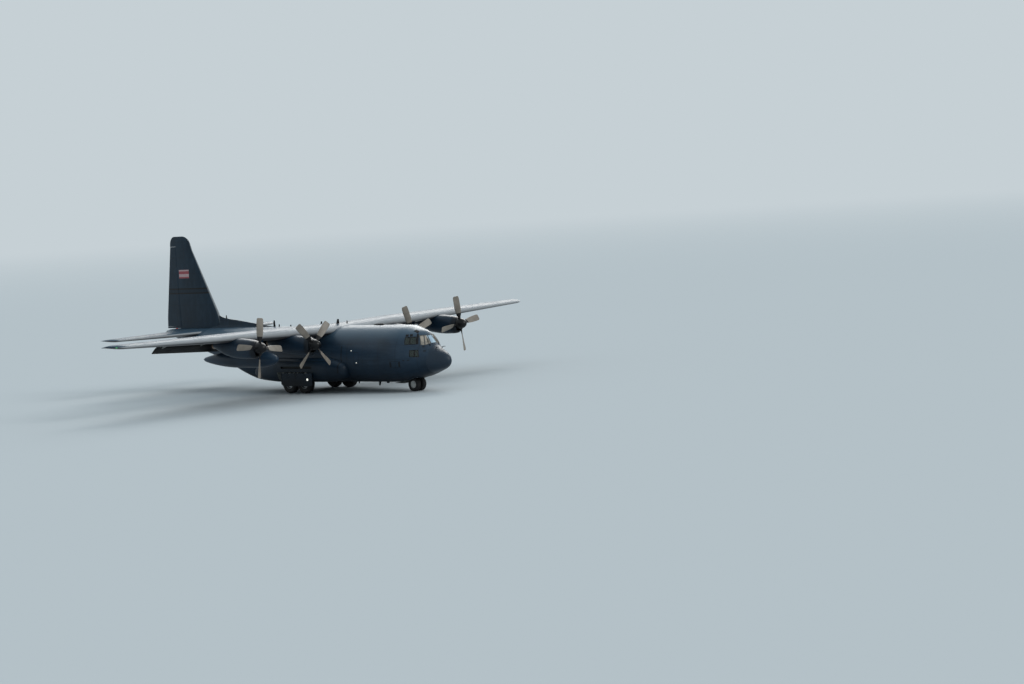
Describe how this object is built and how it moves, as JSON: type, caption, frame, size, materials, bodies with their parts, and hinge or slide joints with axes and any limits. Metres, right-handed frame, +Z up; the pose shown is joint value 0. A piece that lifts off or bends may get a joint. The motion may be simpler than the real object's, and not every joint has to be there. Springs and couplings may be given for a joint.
{
  "type": "military transport plane, 1:2 scale model",
  "caption": "High-wing four-propeller military transport plane with a rear loading ramp, tall fin, side wheel pods, external wing tanks and lowered flaps, standing on its wheels.",
  "frame": {"origin": "on the ground, under the centre of the bounding box", "axes": "+X forward along the fuselage to the nose, +Y to port along the wing, +Z up"},
  "size_m": [14.895, 20.205, 5.83],
  "materials": {
    "airframe_paint": "satin",
    "radome_paint": "satin",
    "engine_paint": "satin",
    "window_glass": "gloss",
    "cabin_paint": "matte",
    "seat_cloth": "matte",
    "floor_metal": "satin",
    "propeller_paint": "satin",
    "gear_paint": "satin",
    "tyre": "matte"
  },
  "bodies": {
    "airframe": {"nose_radome": "radome_paint", "forward_fuselage": "airframe_paint", "centre_fuselage": "airframe_paint", "aft_fuselage": "airframe_paint", "windshield": "window_glass", "side_window_left": "window_glass", "side_window_right": "window_glass", "lower_window_left": "window_glass", "lower_window_right": "window_glass", "flight_deck": "cabin_paint", "cargo_floor": "floor_metal", "wing_centre": "airframe_paint", "tailplane": "airframe_paint", "fin": "airframe_paint", "pilot_seat_left": "seat_cloth", "troop_door_left": "airframe_paint", "wing_outer_left": "airframe_paint", "flap_inboard_left": "airframe_paint", "flap_outboard_left": "airframe_paint", "tank_left": "airframe_paint", "gear_pod_left": "airframe_paint", "main_gear_door_left": "airframe_paint", "main_gear_leg_left": "gear_paint", "pilot_seat_right": "seat_cloth", "troop_door_right": "airframe_paint", "wing_outer_right": "airframe_paint", "flap_inboard_right": "airframe_paint", "flap_outboard_right": "airframe_paint", "tank_right": "airframe_paint", "gear_pod_right": "airframe_paint", "main_gear_door_right": "airframe_paint", "main_gear_leg_right": "gear_paint", "nacelle_1": "engine_paint", "nacelle_2": "engine_paint", "nacelle_3": "engine_paint", "nacelle_4": "engine_paint", "nose_gear_leg": "gear_paint", "nose_gear_door": "airframe_paint"},
    "propeller_1": {"propeller_1": "propeller_paint"},
    "propeller_2": {"propeller_2": "propeller_paint"},
    "propeller_3": {"propeller_3": "propeller_paint"},
    "propeller_4": {"propeller_4": "propeller_paint"},
    "main_wheel_front_left": {"main_wheel_front_left": "tyre"},
    "main_wheel_rear_left": {"main_wheel_rear_left": "tyre"},
    "aileron_left": {"aileron_left": "airframe_paint"},
    "main_wheel_front_right": {"main_wheel_front_right": "tyre"},
    "main_wheel_rear_right": {"main_wheel_rear_right": "tyre"},
    "aileron_right": {"aileron_right": "airframe_paint"},
    "elevators": {"elevator_left": "airframe_paint", "elevator_right": "airframe_paint"},
    "rudder": {"rudder": "airframe_paint"},
    "nose_steering": {"nose_gear_fork": "gear_paint"},
    "nose_wheels": {"nose_wheels": "tyre"},
    "ramp": {"ramp": "airframe_paint"},
    "cargo_door": {"cargo_door": "airframe_paint"},
    "crew_door": {"crew_door": "airframe_paint"}
  },
  "joints": [
    {"name": "propeller_1_spin", "type": "hinge", "parent": "airframe", "child": "propeller_1", "pos_m": [3.2975, 5.025, 1.975], "axis": [1, 0, 0], "continuous": true},
    {"name": "propeller_2_spin", "type": "hinge", "parent": "airframe", "child": "propeller_2", "pos_m": [3.2975, 2.475, 1.86], "axis": [1, 0, 0], "continuous": true},
    {"name": "propeller_3_spin", "type": "hinge", "parent": "airframe", "child": "propeller_3", "pos_m": [3.2975, -2.475, 1.86], "axis": [1, 0, 0], "continuous": true},
    {"name": "propeller_4_spin", "type": "hinge", "parent": "airframe", "child": "propeller_4", "pos_m": [3.2975, -5.025, 1.975], "axis": [1, 0, 0], "continuous": true},
    {"name": "main_wheel_front_left_spin", "type": "hinge", "parent": "airframe", "child": "main_wheel_front_left", "pos_m": [1.285, 1.0875, 0.355], "axis": [0, 1, 0], "continuous": true},
    {"name": "main_wheel_rear_left_spin", "type": "hinge", "parent": "airframe", "child": "main_wheel_rear_left", "pos_m": [0.51, 1.0875, 0.355], "axis": [0, 1, 0], "continuous": true},
    {"name": "main_wheel_front_right_spin", "type": "hinge", "parent": "airframe", "child": "main_wheel_front_right", "pos_m": [1.285, -1.0875, 0.355], "axis": [0, 1, 0], "continuous": true},
    {"name": "main_wheel_rear_right_spin", "type": "hinge", "parent": "airframe", "child": "main_wheel_rear_right", "pos_m": [0.51, -1.0875, 0.355], "axis": [0, 1, 0], "continuous": true},
    {"name": "nose_steer", "type": "hinge", "parent": "airframe", "child": "nose_steering", "pos_m": [5.7825, 0, 0.2475], "axis": [0, 0, 1], "range_deg": [-60, 60]},
    {"name": "nose_wheels_spin", "type": "hinge", "parent": "nose_steering", "child": "nose_wheels", "pos_m": [5.7825, 0, 0.2475], "axis": [0, 1, 0], "continuous": true},
    {"name": "aileron_left_hinge", "type": "hinge", "parent": "airframe", "child": "aileron_left", "pos_m": [0.87672, 7.25, 2.35968], "axis": [0.0857, 0.9957, 0.0346], "range_deg": [-15, 25]},
    {"name": "aileron_right_hinge", "type": "hinge", "parent": "airframe", "child": "aileron_right", "pos_m": [0.87672, -7.25, 2.35968], "axis": [-0.0857, 0.9957, -0.0346], "range_deg": [-15, 25]},
    {"name": "elevator_hinge", "type": "hinge", "parent": "airframe", "child": "elevators", "pos_m": [-6.3225, 0, 2.185], "axis": [0, 1, 0], "range_deg": [-15, 40]},
    {"name": "rudder_hinge", "type": "hinge", "parent": "airframe", "child": "rudder", "pos_m": [-6.48232, 0, 2.4], "axis": [-0.0307, 0, 0.9995], "range_deg": [-35, 35]},
    {"name": "ramp_hinge", "type": "hinge", "parent": "airframe", "child": "ramp", "pos_m": [-1.2775, 0, 0.4], "axis": [0, -1, 0], "range_deg": [0, 31]},
    {"name": "cargo_door_hinge", "type": "hinge", "parent": "airframe", "child": "cargo_door", "pos_m": [-4.8025, 0, 1.645], "axis": [0, -1, 0], "range_deg": [0, 24]},
    {"name": "crew_door_hinge", "type": "hinge", "parent": "airframe", "child": "crew_door", "pos_m": [5.3225, 0.81473, 0.544], "axis": [-0.9925, 0.1226, 0], "range_deg": [0, 105]}
  ]
}
